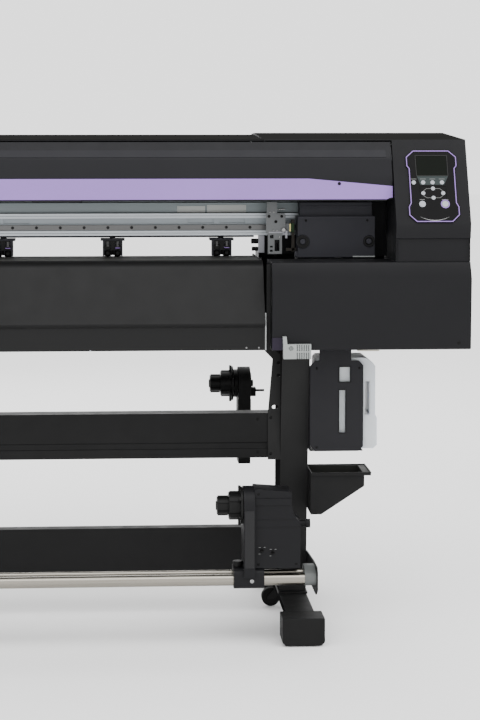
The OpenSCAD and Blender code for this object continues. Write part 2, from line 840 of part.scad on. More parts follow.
// Cutter carriage: drilled upper plate, open lower plate and strut
module cutter_carriage() {
  color([0.6, 0.61, 0.62]) {
    along_y(-113, -110) difference() {
      polygon([
        [582, 1113], [582, 1168], [584, 1168], [584, 1200], [613, 1200], [613, 1168],
        [634, 1168], [637, 1163], [637, 1113]
      ]);
      for (spot = [[590, 1160], [626, 1160]]) translate(spot) circle(r = 3);
    }
    block([590, 632], [-110, -80], [1150, 1160]);
    block([590, 632], [-80, -66], [1108, 1160]);
    slide_block(592, 630);
  }
  color([0.78, 0.79, 0.8]) along_y(-113, -110) difference() {
    polygon([[587, 1054], [627, 1054], [627, 1113], [587, 1113]]);
    translate([593, 1098]) square([10, 10]);
    translate([606, 1062]) square([14, 32]);
    translate([593, 1060]) square([8, 6]);
    translate([593, 1072]) square([8, 5]);
  }
  color([0.8, 0.72, 0.35]) block([648, 652], [-112, -108], [1117, 1139]);
  color([0.3, 0.3, 0.3]) block([637, 652], [-108, -104], [1117, 1139]);
}

// Blade holder in its slide behind the lower plate
module cutter_holder() {
  color([0.25, 0.25, 0.27]) {
    translate([610, -97, 1053]) cylinder(h = 87, r = 7);
    translate([610, -97, 1047.6]) cylinder(h = 5.4, r1 = 1.5, r2 = 5);
    block([598, 622], [-106, -88], [1085, 1108]);
  }
}

// ---- pinch rollers, grit roller and their lever ----

function pinch_x(i) = pinch_x0 + i * pinch_pitch;

// Arms on one shaft; each holds a short roller axle over the grit roller
module pinch_arms() {
  color([0.13, 0.13, 0.14]) {
    rod_x(-556, 556, arm_pivot[0], arm_pivot[1], 2.5);
    for (i = [0:pinch_count - 1]) translate([pinch_x(i), 0, 0]) {
      block([-34, 34], [-56, -6], [1089, 1094.5]);
      difference() {
        block([-28, 28], [-56, -22], [1046, 1089]);
        for (side = [-14, 14]) block([side - 9.5, side + 9.5], [-57, -21], [1045, 1062]);
        block([-4, 4], [-57, -21], [1045, 1080]);
      }
      rod_x(-28, 28, grit_y, pinch_z, 1.5);
      block([-8, 8], [-12, -4], [1094, 1099]);
    }
  }
}

module pinch_rollers() {
  color([0.2, 0.2, 0.21]) for (i = [0:pinch_count - 1]) for (side = [-14, 14])
    difference() {
      rod_x(pinch_x(i) + side - 9, pinch_x(i) + side + 9, grit_y, pinch_z, pinch_r);
      rod_x(pinch_x(i) + side - 10, pinch_x(i) + side + 10, grit_y, pinch_z, 1.5 + running);
    }
}

module grit_roller() {
  color([0.6, 0.6, 0.58]) {
    rod_x(-552, 552, grit_y, grit_z, grit_r);
    both_sides() rod_x(552, 575, grit_y, grit_z, 6);
  }
}

// Lever at the rear right that lifts the pinch arms
module clamp_lever() {
  color([0.15, 0.15, 0.16]) {
    difference() {
      union() {
        rod_x(600, 622, lever_pivot[0], lever_pivot[1], 12);
        along_x(606, 616) polygon([[268, 1180], [282, 1180], [296, 1090], [288, 1080], [280, 1090]]);
      }
      rod_x(599, 623, lever_pivot[0], lever_pivot[1], 4 + running);
    }
    rod_x(598, 624, 288, 1085, 8);
  }
}

chassis();
platen();
apron();
rear_media_guide();
lower_cover_right();
lower_cover_left();
upper_cover_right();
upper_cover_left();
top_cover();
y_beam();
linear_rail();
belt_drive();
capping_station();
wiring_duct();
ink_rack();
power_inlet();
stand_beams();
stand_leg_right();
stand_leg_left();
levelling_feet();
roll_rail();
takeup_rails();
tube_brackets();
waste_tank_bracket();
drip_tray();
operation_panel();
front_cover();
print_carriage();
cutter_carriage();
cutter_holder();
pinch_arms();
pinch_rollers();
clamp_lever();
grit_roller();
waste_ink_tank();
roll_holder_right();
roll_holder_left();
roll_hub_right();
roll_hub_left();
takeup_unit();
takeup_hub();
takeup_idler();
takeup_idler_hub();
takeup_switch_a();
takeup_switch_b();
caster_fork_front_right();
caster_fork_front_left();
caster_fork_rear_right();
caster_fork_rear_left();
caster_wheel_front_right();
caster_wheel_front_left();
caster_wheel_rear_right();
caster_wheel_rear_left();
function_key_1();
function_key_2();
function_key_3();
function_key_4();
arrow_pad();
enter_key();
end_key();
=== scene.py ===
"""Visual model of a free-standing print-and-cut plotter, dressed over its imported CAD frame.

Metres, +X right seen from the front, -Y front, +Z up, origin on the floor. The CAD nodes keep their
places; most of them are shown through copies with rounded edges, and panels, ribs, screws and
graphics are added as pieces that ride on the same bodies.
"""
import json
import math

import bmesh
import bpy
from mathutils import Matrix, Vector


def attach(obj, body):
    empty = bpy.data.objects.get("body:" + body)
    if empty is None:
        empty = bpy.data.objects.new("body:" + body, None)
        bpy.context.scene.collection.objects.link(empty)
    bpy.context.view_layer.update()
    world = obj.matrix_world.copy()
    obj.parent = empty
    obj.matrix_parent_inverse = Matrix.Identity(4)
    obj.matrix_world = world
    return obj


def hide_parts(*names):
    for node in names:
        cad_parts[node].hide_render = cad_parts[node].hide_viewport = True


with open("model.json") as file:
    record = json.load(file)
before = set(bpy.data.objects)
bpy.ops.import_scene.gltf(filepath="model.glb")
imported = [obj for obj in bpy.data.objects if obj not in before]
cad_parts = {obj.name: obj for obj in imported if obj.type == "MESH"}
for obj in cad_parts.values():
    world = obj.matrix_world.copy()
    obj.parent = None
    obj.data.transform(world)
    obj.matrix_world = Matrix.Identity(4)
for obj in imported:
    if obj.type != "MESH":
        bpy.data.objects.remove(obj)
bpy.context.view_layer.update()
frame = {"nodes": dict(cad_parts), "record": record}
NODES = frame["nodes"]
BODY_NODES = frame["record"]["behaviour"]["bodies"]
ROOT = "machine"
MM = 0.001
FRONT, BACK, UP = (0, -1, 0), (0, 1, 0), (0, 0, 1)
SIDES = ((1, "right"), (-1, "left"))

# Places on the machine in millimetres
PINCH_X0, PINCH_PITCH, PINCH_COUNT = -466, 309, 4
PINCH_FRONT = -56
RAIL_FRONT, RAIL_Z = -60, 1126.5
RAIL_SCREW_X0, RAIL_SCREW_PITCH = 4.7, 67
CUTTER_FRONT = -113
CARRIAGE_FRONT = -150
REAR_WALL = 256
TAKEUP_FACE = -320
ROLL_AXIS_Y, ROLL_AXIS_Z = 250, 639


# ---------------------------------------------------------------- camera, floor, light

def make_camera():
    """Long lens at the operator's side, aimed between the middle and the right leg."""
    data = bpy.data.cameras.new("camera")
    data.sensor_width = 36
    data.sensor_fit = "AUTO"
    data.lens = 95.24
    data.shift_x = 0.05
    data.shift_y = -0.20
    camera = bpy.data.objects.new("camera", data)
    bpy.context.scene.collection.objects.link(camera)
    camera.location = (0.1124, -5.4344, 1.4362)
    yaw, pitch = math.radians(3.173), math.radians(2.951)
    camera.rotation_euler = (math.pi / 2 - pitch, 0, -yaw)
    bpy.context.scene.camera = camera


def area_light(name, location, target, size, power, colour=(1, 1, 1)):
    data = bpy.data.lights.new(name, "AREA")
    data.shape = "RECTANGLE"
    data.size, data.size_y = size
    data.energy = power
    data.color = colour
    light = bpy.data.objects.new(name, data)
    bpy.context.scene.collection.objects.link(light)
    light.location = location
    direction = Vector(target) - Vector(location)
    light.rotation_euler = direction.to_track_quat("-Z", "Y").to_euler()


def make_stage():
    mesh = bpy.data.meshes.new("floor")
    half = 30
    mesh.from_pydata([(-half, -half, 0), (half, -half, 0), (half, half, 0), (-half, half, 0)], [],
                     [(0, 1, 2, 3)])
    floor = bpy.data.objects.new("floor", mesh)
    bpy.context.scene.collection.objects.link(floor)
    floor.data.materials.append(plain_material("floor_white", (0.93, 0.93, 0.93), 0.9))
    world = bpy.data.worlds.new("studio")
    world.use_nodes = True
    background = world.node_tree.nodes["Background"]
    background.inputs["Color"].default_value = (1, 1, 1, 1)
    background.inputs["Strength"].default_value = 2.0
    bpy.context.scene.world = world
    area_light("key_top", (0.8, -2.2, 4.2), (0.2, 0, 0.9), (4.0, 2.0), 80)
    area_light("front_fill", (-2.5, -5.0, 1.8), (0.3, 0, 0.8), (2.5, 2.5), 45)
    area_light("side_fill", (4.5, -2.5, 1.6), (0.6, 0, 0.8), (1.5, 2.5), 35)
    area_light("rear_fill", (-1.0, 4.5, 2.6), (0, 0, 0.9), (4.0, 2.0), 70)


# ---------------------------------------------------------------- materials

def new_material(name):
    material = bpy.data.materials.new(name)
    material.use_nodes = True
    tree = material.node_tree
    return material, tree, tree.nodes["Principled BSDF"]


def link(tree, a, b):
    tree.links.new(a, b)


def object_coords(tree, scale=(1, 1, 1)):
    coords = tree.nodes.new("ShaderNodeTexCoord")
    mapping = tree.nodes.new("ShaderNodeMapping")
    mapping.inputs["Scale"].default_value = scale
    link(tree, coords.outputs["Object"], mapping.inputs["Vector"])
    return mapping.outputs["Vector"]


def noise(tree, vector, scale, detail=2.0, roughness=0.5):
    node = tree.nodes.new("ShaderNodeTexNoise")
    node.inputs["Scale"].default_value = scale
    node.inputs["Detail"].default_value = detail
    node.inputs["Roughness"].default_value = roughness
    link(tree, vector, node.inputs["Vector"])
    return node.outputs["Fac"]


def ramp(tree, value, low, high, places=(0.3, 0.7)):
    node = tree.nodes.new("ShaderNodeValToRGB")
    node.color_ramp.elements[0].position = places[0]
    node.color_ramp.elements[1].position = places[1]
    node.color_ramp.elements[0].color = (*low, 1)
    node.color_ramp.elements[1].color = (*high, 1)
    link(tree, value, node.inputs["Fac"])
    return node.outputs["Color"]


def map_range(tree, value, low, high):
    node = tree.nodes.new("ShaderNodeMapRange")
    node.inputs["From Min"].default_value = 0.3
    node.inputs["From Max"].default_value = 0.7
    node.inputs["To Min"].default_value = low
    node.inputs["To Max"].default_value = high
    link(tree, value, node.inputs["Value"])
    return node.outputs["Result"]


def bump(tree, shader, height, distance, strength=0.4):
    node = tree.nodes.new("ShaderNodeBump")
    node.inputs["Distance"].default_value = distance
    node.inputs["Strength"].default_value = strength
    link(tree, height, node.inputs["Height"])
    link(tree, node.outputs["Normal"], shader.inputs["Normal"])


def plain_material(name, colour, roughness):
    """Even paint with a faint mottling, for the floor."""
    material, tree, shader = new_material(name)
    vector = object_coords(tree)
    link(tree, ramp(tree, noise(tree, vector, 0.7), tuple(c * 0.985 for c in colour), colour),
         shader.inputs["Base Color"])
    shader.inputs["Roughness"].default_value = roughness
    return material


def textured_plastic(name, colour, roughness=0.45, grain=1600, depth=0.00005, variation=0.12,
                     specular=0.12):
    """Moulded or powder-coated surface: fine grain in the bump, slow drift in colour and gloss."""
    material, tree, shader = new_material(name)
    vector = object_coords(tree)
    slow = noise(tree, vector, 5.0, 3.0)
    dark = tuple(c * (1 - variation) for c in colour)
    light = tuple(min(1, c * (1 + variation)) for c in colour)
    link(tree, ramp(tree, slow, dark, light), shader.inputs["Base Color"])
    smudge = noise(tree, vector, 22.0, 4.0, 0.6)
    link(tree, map_range(tree, smudge, roughness - 0.05, roughness + 0.07), shader.inputs["Roughness"])
    bump(tree, shader, noise(tree, vector, grain, 2.0), depth, 0.5)
    shader.inputs["Specular IOR Level"].default_value = specular
    return material


def brushed_metal(name, colour, roughness=0.3, along=(1, 60, 60), metallic=1.0, depth=0.00002):
    """Metal with a grain drawn out along one axis."""
    material, tree, shader = new_material(name)
    vector = object_coords(tree, along)
    grain = noise(tree, vector, 12.0, 4.0, 0.6)
    dark = tuple(c * 0.86 for c in colour)
    link(tree, ramp(tree, grain, dark, colour), shader.inputs["Base Color"])
    link(tree, map_range(tree, grain, roughness - 0.06, roughness + 0.08), shader.inputs["Roughness"])
    bump(tree, shader, grain, depth, 0.35)
    shader.inputs["Metallic"].default_value = metallic
    return material


def clear_tank_plastic(name):
    """Milky blow-moulded polyethylene that lets light sink in a little."""
    material, tree, shader = new_material(name)
    vector = object_coords(tree)
    cloud = noise(tree, vector, 9.0, 4.0)
    link(tree, ramp(tree, cloud, (0.46, 0.49, 0.52), (0.56, 0.59, 0.63)), shader.inputs["Base Color"])
    link(tree, map_range(tree, noise(tree, vector, 40.0, 3.0), 0.3, 0.42), shader.inputs["Roughness"])
    bump(tree, shader, noise(tree, vector, 160.0, 2.0), 0.0003, 0.3)
    shader.inputs["Subsurface Weight"].default_value = 0.35
    shader.inputs["Subsurface Radius"].default_value = (0.02, 0.02, 0.025)
    shader.inputs["Subsurface Scale"].default_value = 0.6
    return material


MATERIALS = {}


def make_materials():
    m = MATERIALS
    m["cover"] = textured_plastic("cover_charcoal", (0.00646, 0.00646, 0.007344), 0.46, 1400, 0.00006, 0.06)
    m["cover_front"] = textured_plastic("front_cover_charcoal", (0.00884, 0.00884, 0.01034), 0.42, 1800,
                                        0.00003, 0.05)
    m["leg"] = textured_plastic("leg_powder_coat", (0.01258, 0.01258, 0.01258), 0.55, 900, 0.00012, 0.06)
    # Darker copy of the leg coat without specular: painted shade on the legs' inner faces.
    m["leg_side_painted_shade"] = textured_plastic("leg_inner_face_painted_shade", (0.0080, 0.0080, 0.0082), 0.7, 900, 0.00012, 0.06,
                                     specular=0.0)
    # Lighter copy of the front cover's charcoal: painted highlight on the ledge facet that slopes up towards
    # the light.
    m["ledge_painted_highlight"] = textured_plastic("cover_ledge_painted_highlight", (0.0135, 0.0135, 0.0160), 0.42, 1800, 0.00003, 0.05)
    m["bracket"] = textured_plastic("bracket_coat", (0.01122, 0.01108, 0.01292), 0.5, 1200, 0.00008, 0.06)
    # Lighter charcoal without specular for faces that look up: a painted sheen standing in for the light they
    # catch seen at a grazing angle.
    m["top"] = textured_plastic("top_face_painted_sheen", (0.0140, 0.0140, 0.0134), 0.9, 1400, 0.00006,
                                0.05, specular=0.0)
    m["frame"] = textured_plastic("frame_powder_coat", (0.00646, 0.00646, 0.006596), 0.55, 900, 0.00012, 0.06)
    m["apron"] = textured_plastic("apron_satin_coat", (0.00816, 0.00816, 0.008296), 0.40, 2200, 0.00002, 0.03)
    m["inner"] = textured_plastic("inner_moulding", (0.00476, 0.00476, 0.00578), 0.5, 1200, 0.00006, 0.08)
    m["carriage"] = textured_plastic("carriage_moulding", (0.0185, 0.0185, 0.0228), 0.48, 1500, 0.00005, 0.06)
    m["hub"] = textured_plastic("hub_moulding", (0.00544, 0.00544, 0.00544), 0.42, 900, 0.00008, 0.08)
    m["foot"] = textured_plastic("foot_moulding", (0.00612, 0.00612, 0.00612), 0.6, 700, 0.00015, 0.08)
    m["rubber"] = textured_plastic("rubber", (0.00544, 0.00544, 0.00544), 0.75, 900, 0.00015, 0.08)
    m["lavender"] = textured_plastic("lavender_paint", (0.232, 0.143, 0.392), 0.40, 2600, 0.00001, 0.02)
    m["duct"] = textured_plastic("duct_grey", (0.2312, 0.2448, 0.2414), 0.5, 1100, 0.00005, 0.04)
    m["cream"] = textured_plastic("cream_moulding", (0.51, 0.4828, 0.408), 0.45, 900, 0.00005, 0.04)
    m["grey_cap"] = textured_plastic("grey_cap", (0.0952, 0.1006, 0.09928), 0.45, 900, 0.00006, 0.05)
    m["bracket_grey"] = textured_plastic("bracket_grey", (0.306, 0.3128, 0.3128), 0.4, 900, 0.00004, 0.04)
    m["key"] = textured_plastic("key_tops", (0.310, 0.325, 0.350), 0.4, 1500, 0.00002, 0.03)
    m["panel"] = textured_plastic("panel_film", (0.0040, 0.0040, 0.0042), 0.45, 2500, 0.00001, 0.05,
                                  specular=0.07)
    m["display"] = textured_plastic("display_glass", (0.0062, 0.0074, 0.0060), 0.35, 3000, 0.000002, 0.05,
                                    specular=0.02)
    m["platen"] = brushed_metal("platen_anodised", (0.085, 0.085, 0.080), 0.55, (1, 40, 40), 0.6)
    m["beam"] = brushed_metal("beam_extrusion", (0.1632, 0.187, 0.1938), 0.45, (0.6, 50, 50), 0.7)
    m["beam_mid"] = brushed_metal("beam_slotted_strip", (0.2312, 0.255, 0.272), 0.45, (0.6, 50, 50), 0.7)
    m["beam_light"] = brushed_metal("beam_light_strip", (0.4216, 0.4488, 0.476), 0.4, (0.6, 50, 50), 0.7)
    m["steel"] = brushed_metal("ground_steel", (0.108, 0.108, 0.108), 0.32, (0.5, 80, 80))
    m["tube"] = brushed_metal("drawn_stainless", (0.29, 0.272, 0.236), 0.26, (0.4, 90, 90))
    m["plate"] = brushed_metal("zinc_plate", (0.2448, 0.2482, 0.272), 0.42, (20, 20, 20), 0.6)
    m["plate_light"] = textured_plastic("light_plate", (0.125, 0.130, 0.133), 0.42, 900, 0.00003, 0.10)
    m["screw"] = brushed_metal("screw_black_zinc", (0.0136, 0.0136, 0.0136), 0.45, (20, 20, 20))
    m["bright_screw"] = brushed_metal("screw_bright", (0.2856, 0.2856, 0.2856), 0.3, (20, 20, 20))
    m["tank"] = clear_tank_plastic("tank_polyethylene")
    m["tray_inner"] = textured_plastic("tray_inner", (0.0165, 0.0168, 0.0150), 0.5, 900, 0.00006, 0.08)
    m["line_grey"] = textured_plastic("line_grey", (0.0238, 0.02448, 0.02312), 0.45, 2000, 0.00001, 0.04)
    m["line_light"] = textured_plastic("line_light", (0.136, 0.1394, 0.136), 0.45, 2000, 0.00001, 0.04)
    m["strip_teal"] = textured_plastic("strip_teal", (0.02448, 0.03264, 0.03264), 0.4, 2000, 0.00001, 0.05)
    m["carriage_light"] = textured_plastic("carriage_trim", (0.0204, 0.0204, 0.02516), 0.45, 1500, 0.00004)
    m["frame_brown"] = textured_plastic("bay_post", (0.0306, 0.0272, 0.02312), 0.5, 1200, 0.00005)
    m["board_green"] = textured_plastic("board_green", (0.017, 0.0408, 0.017), 0.5, 900, 0.00004, 0.2)
    m["edge_plum"] = textured_plastic("edge_plum", (0.01496, 0.01156, 0.0204), 0.45, 1400, 0.00004)
    # Lighter charcoal for the take-up arms' front edge: a painted highlight where the rounded edge catches
    # the light.
    m["arm_edge_painted_highlight"] = textured_plastic("arm_edge_highlight_paint", (0.01428, 0.01428, 0.01496), 0.46, 1300, 0.00005)
    m["label"] = textured_plastic("blank_label", (0.374, 0.3876, 0.374), 0.5, 900, 0.00002, 0.05)
    m["brass"] = brushed_metal("brass_strip", (0.476, 0.408, 0.17), 0.3, (10, 10, 40))


# ---------------------------------------------------------------- building pieces

def add_object(name, mesh, material, body, smooth_angle=32):
    """New object from a mesh, smooth where faces meet gently, riding on a body."""
    piece = bpy.data.objects.new(name, mesh)
    bpy.context.scene.collection.objects.link(piece)
    if not mesh.materials:
        mesh.materials.append(MATERIALS[material])
    smooth_by_angle(mesh, smooth_angle)
    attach(piece, body)
    return piece


def smooth_by_angle(mesh, angle):
    work = bmesh.new()
    work.from_mesh(mesh)
    limit = math.radians(angle)
    for face in work.faces:
        face.smooth = True
    for edge in work.edges:
        edge.smooth = len(edge.link_faces) == 2 and edge.calc_face_angle(0) < limit
    work.to_mesh(mesh)
    work.free()


def round_edges(piece, width, segments=2, angle=30):
    """Bevel modifier in millimetres with normals weighted to the big faces."""
    bevel = piece.modifiers.new("edges", "BEVEL")
    bevel.width = width * MM
    bevel.segments = segments
    bevel.limit_method = "ANGLE"
    bevel.angle_limit = math.radians(angle)
    bevel.use_clamp_overlap = True
    bevel.harden_normals = False
    bevel.miter_outer = "MITER_ARC"
    normals = piece.modifiers.new("normals", "WEIGHTED_NORMAL")
    normals.keep_sharp = True


def clean_copy(node):
    """Mesh of a CAD node with its triangles merged into flat faces."""
    mesh = NODES[node].data.copy()
    work = bmesh.new()
    work.from_mesh(mesh)
    bmesh.ops.remove_doubles(work, verts=work.verts, dist=1e-6)
    bmesh.ops.dissolve_limit(work, angle_limit=math.radians(0.6), verts=work.verts, edges=work.edges)
    work.to_mesh(mesh)
    work.free()
    mesh.materials.clear()
    return mesh


def body_of(node):
    """The body that a CAD node rides on."""
    for body, names in BODY_NODES.items():
        if node in names:
            return body
    return ROOT


def dress(node, material, edge=1.0, paints=(), segments=2):
    """Show a CAD node through a copy with rounded edges; paints are (material, test of a face's centre)."""
    mesh = clean_copy(node)
    mesh.materials.append(MATERIALS[material])
    for name, test in paints:
        mesh.materials.append(MATERIALS[name])
        index = len(mesh.materials) - 1
        for face in mesh.polygons:
            x, y, z = face.center / MM
            if test(x, y, z, face.normal):
                face.material_index = index
    piece = add_object("shown_" + node, mesh, material, body_of(node))
    if edge:
        round_edges(piece, edge, segments)
    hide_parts(node)
    return piece


def box_mesh(work, low, high):
    """Add a box given by two corners in millimetres to a bmesh."""
    corners = [Vector((x, y, z)) * MM for z in (low[2], high[2])
               for x, y in ((low[0], low[1]), (high[0], low[1]), (high[0], high[1]), (low[0], high[1]))]
    verts = [work.verts.new(corner) for corner in corners]
    for face in ((3, 2, 1, 0), (4, 5, 6, 7), (0, 1, 5, 4), (1, 2, 6, 5), (2, 3, 7, 6), (3, 0, 4, 7)):
        work.faces.new([verts[i] for i in face])


def finish_mesh(name, work):
    bmesh.ops.recalc_face_normals(work, faces=work.faces)
    mesh = bpy.data.meshes.new(name)
    work.to_mesh(mesh)
    work.free()
    return mesh


def blocks(name, boxes, material, body, edge=0.5, segments=2):
    """One piece made of rounded blocks, each given by its low and high corners in millimetres."""
    work = bmesh.new()
    for low, high in boxes:
        box_mesh(work, low, high)
    piece = add_object(name, finish_mesh(name, work), material, body)
    if edge:
        round_edges(piece, edge, segments)
    return piece


def turned(name, profile, origin, axis, material, body, steps=32, turn_angle=32):
    """Solid of revolution: profile is (distance along the axis, radius) in millimetres."""
    work = bmesh.new()
    add_turned(work, profile, origin, axis, steps)
    return add_object(name, finish_mesh(name, work), material, body, turn_angle)


def add_turned(work, profile, origin, axis, steps=32):
    origin = Vector(origin)
    axis = Vector(axis).normalized()
    side = axis.orthogonal().normalized()
    other = axis.cross(side)
    rings = []
    for along, radius in profile:
        centre = origin + axis * along
        if radius == 0:
            rings.append([work.verts.new(centre * MM)])
            continue
        ring = []
        for i in range(steps):
            a = 2 * math.pi * i / steps
            ring.append(work.verts.new((centre + (side * math.cos(a) + other * math.sin(a)) * radius) * MM))
        rings.append(ring)
    for a, b in zip(rings, rings[1:]):
        for i in range(steps):
            j = (i + 1) % steps
            if len(a) == 1:
                work.faces.new((a[0], b[j], b[i]))
            elif len(b) == 1:
                work.faces.new((a[i], a[j], b[0]))
            else:
                work.faces.new((a[i], a[j], b[j], b[i]))
    if len(rings[0]) > 1:
        work.faces.new(rings[0])
    if len(rings[-1]) > 1:
        work.faces.new(list(reversed(rings[-1])))


def extruded(name, outline, low, high, place, material, body, edge=0.5, segments=2, smooth=32):
    """Prism of an outline from low to high; place turns (a, b, height) into a point in millimetres."""
    work = bmesh.new()
    add_prism(work, outline, low, high, place)
    piece = add_object(name, finish_mesh(name, work), material, body, smooth)
    if edge:
        round_edges(piece, edge, segments)
    return piece


def add_prism(work, outline, low, high, place):
    bottom = [work.verts.new(Vector(place(a, b, low)) * MM) for a, b in outline]
    top = [work.verts.new(Vector(place(a, b, high)) * MM) for a, b in outline]
    work.faces.new(list(reversed(bottom)))
    work.faces.new(top)
    count = len(outline)
    for i in range(count):
        j = (i + 1) % count
        work.faces.new((bottom[i], bottom[j], top[j], top[i]))


def place_x(y, z, x):
    """Outlines in the side view, extruded across the machine."""
    return x, y, z


def place_y(x, z, y):
    """Outlines in the front view, extruded in depth."""
    return x, y, z


def place_z(x, y, z):
    """Outlines in the top view, extruded upwards."""
    return x, y, z


def add_screw(work, centre, axis, radius, height=1.6):
    """Pan head with a shallow round recess, standing on a surface."""
    axis = Vector(axis).normalized()
    profile = [(-0.4, 0), (-0.4, radius), (height * 0.35, radius), (height * 0.8, radius * 0.8),
               (height, radius * 0.45), (height, radius * 0.4), (height * 0.45, radius * 0.12),
               (height * 0.4, 0)]
    add_turned(work, profile, centre, axis, 20)


def screws(name, spots, axis, radius, material, body):
    """A group of like screws on one body, at spots in millimetres."""
    work = bmesh.new()
    for spot in spots:
        add_screw(work, spot, axis, radius)
    return add_object(name, finish_mesh(name, work), material, body)


def arc(centre, radius, start, end, steps=8):
    """Points of an arc in degrees, ends included."""
    angles = [math.radians(start + (end - start) * i / steps) for i in range(steps + 1)]
    return [(centre[0] + radius * math.cos(a), centre[1] + radius * math.sin(a)) for a in angles]


def rounded_outline(points, radius, steps=4):
    """Outline with each corner replaced by a quadratic curve that starts radius before it."""
    result = []
    count = len(points)
    for i, corner in enumerate(points):
        here = Vector(corner)
        before = Vector(points[i - 1]) - here
        after = Vector(points[(i + 1) % count]) - here
        r = min(radius, before.length * 0.45, after.length * 0.45)
        start, end = here + before.normalized() * r, here + after.normalized() * r
        for k in range(steps + 1):
            t = k / steps
            p = start * (1 - t) ** 2 + here * 2 * t * (1 - t) + end * t ** 2
            result.append((p[0], p[1]))
    return result


# ---------------------------------------------------------------- CAD nodes shown with rounded edges

def facing(axis, sign, limit=0.9):
    """Test for faces that look along one axis."""
    return lambda x, y, z, n: n[axis] * sign > limit


def inside(low, high):
    """Test for faces whose centre lies in a box."""
    return lambda x, y, z, n: all(a <= v <= b for a, v, b in zip(low, (x, y, z), high))


FAR = 9999


def dress_frame():
    dress("chassis", "frame", 1.0)
    dress("platen", "platen", 0.5, [("frame", lambda x, y, z, n: z < 1034)])
    dress("rear_media_guide", "apron", 0.3)
    dress("lower_cover_right", "cover", 3.0, segments=3)
    dress("lower_cover_left", "cover", 3.0, segments=3)
    # Up-facing faces of these covers take the lighter top material: painted sheen.
    dress("upper_cover_right", "cover", 3.0, [("top", facing(2, 1, 0.5))], 3)
    dress("upper_cover_left", "cover", 3.0, [("top", facing(2, 1, 0.5))], 3)
    dress("top_cover", "cover", 0.8, [("top", facing(2, 1, 0.5))])
    dress("capping_station", "inner", 1.2,
          [("cream", inside((0, -400, 0), (FAR, -200, 803)))])
    dress("ink_rack", "inner", 0.8, [("tank", inside((-FAR, 248, 0), (FAR, 300, FAR)))])
    dress("power_inlet", "inner", 0.5)
    # Faces of the legs turned towards the middle take the darker coat: painted shade.
    dress("stand_leg_right", "leg", 1.6, [("leg_side_painted_shade", facing(0, -1))])
    dress("stand_leg_left", "leg", 1.6, [("leg_side_painted_shade", facing(0, 1))])
    dress("stand_beams", "frame", 1.0)
    dress("levelling_feet", "foot", 2.5, segments=3)
    dress("roll_rail", "frame", 1.0)
    dress("takeup_rails", "tube", 0)
    dress("waste_tank_bracket", "bracket", 0.8)
    dress("drip_tray", "frame", 1.0,
          [("tray_inner", inside((705, -179.5, 330), (851, -68.5, 447)))])
    dress("wiring_duct", "duct", 0.5)


def dress_working_parts():
    dress("y_beam", "beam", 0.3,
          [("frame", inside((-FAR, -60, 1040), (FAR, -30, 1102.9))),
           ("beam_light", lambda x, y, z, n: n[1] < -0.9 and (1103 < z < 1117 or 1152 < z < 1166)),
           ("beam_mid", lambda x, y, z, n: n[1] < -0.9 and 1117 < z < 1152),
           ("plate", inside((563, -60, 1050), (583, -30, 1102.9))),
           ("plate", inside((-583, -60, 1050), (-563, -30, 1102.9)))])
    dress("linear_rail", "steel", 0.4)
    dress("belt_drive", "rubber", 0.3)
    dress("grit_roller", "steel", 0.3)
    dress("pinch_arms", "carriage", 0.8)
    dress("pinch_rollers", "rubber", 0.5)
    dress("clamp_lever", "inner", 1.0)
    dress("print_carriage", "carriage", 1.6)
    dress("cutter_carriage", "plate_light", 0.4,
          [("brass", inside((647, -113, 1110), (653, -107.9, 1145)))])
    dress("cutter_holder", "inner", 0.4)
    dress("waste_ink_tank", "tank", 3.0, segments=3)
    for side in ("right", "left"):
        dress("roll_holder_" + side, "frame", 1.2)
        dress("roll_hub_" + side, "hub", 0.8)
    dress("takeup_unit", "cover", 1.2)
    dress("takeup_idler", "cover", 1.2)
    dress("takeup_hub", "hub", 0.8)
    dress("takeup_idler_hub", "hub", 0.8)
    for letter in "ab":
        dress("takeup_switch_" + letter, "screw", 0.4)
    for end in ("front", "rear"):
        for side in ("right", "left"):
            dress(f"caster_fork_{end}_{side}", "frame", 0.5)
            dress(f"caster_wheel_{end}_{side}", "rubber", 0.8)


def height_on_face(y, z):
    """How far a point stands out of the operation panel's leaning face, in millimetres."""
    up = (FACE_TOP - FACE_LOW).normalized()
    return (Vector((y, z)) - FACE_TOP).dot(Vector((-up[1], up[0])))


def dress_panel_keys():
    for key in ("function_key_1", "function_key_2", "function_key_3", "function_key_4", "enter_key",
                "end_key"):
        dress(key, "key", 0.5)
    dress("arrow_pad", "panel", 0.3, [("key", lambda x, y, z, n: height_on_face(y, z) > 4.1)])


# ---------------------------------------------------------------- front cover with its coloured band

COVER_PROFILE = [(-200.5, 1370), (-212, 1347), (-225, 1328), (-240, 1270), (-245, 1213)]
COVER_HALF = 919.5
BAND_LOW, BAND_HIGH = Vector(COVER_PROFILE[4]), Vector(COVER_PROFILE[3])


def on_band(a, b, h):
    """a across the machine, b up the band's face, h out of it."""
    up = (BAND_HIGH - BAND_LOW).normalized()
    y, z = BAND_LOW + up * b + Vector((-up[1], up[0])) * h
    return a, y, z


def thicken(outline, thickness):
    """Closed outline of a bent sheet: the outer line, then the same line moved inwards."""
    inner = []
    for i, point in enumerate(outline):
        before = Vector(outline[max(i - 1, 0)])
        after = Vector(outline[min(i + 1, len(outline) - 1)])
        along = (after - before).normalized()
        inner.append((point[0] - along[1] * thickness, point[1] + along[0] * thickness))
    return outline + inner[::-1]


def soft_corners(points, radius, steps=5):
    """Open line with its inner corners rounded."""
    result = [points[0]]
    for i in range(1, len(points) - 1):
        here = Vector(points[i])
        before, after = Vector(points[i - 1]) - here, Vector(points[i + 1]) - here
        r = min(radius, before.length * 0.4, after.length * 0.4)
        start, end = here + before.normalized() * r, here + after.normalized() * r
        for k in range(steps + 1):
            t = k / steps
            p = start * (1 - t) ** 2 + here * 2 * t * (1 - t) + end * t ** 2
            result.append((p[0], p[1]))
    return result + [points[-1]]


def mirrored(points):
    """Right half from bottom to top, followed by its mirror image from top to bottom."""
    return points + [(-x, y) for x, y in reversed(points)]


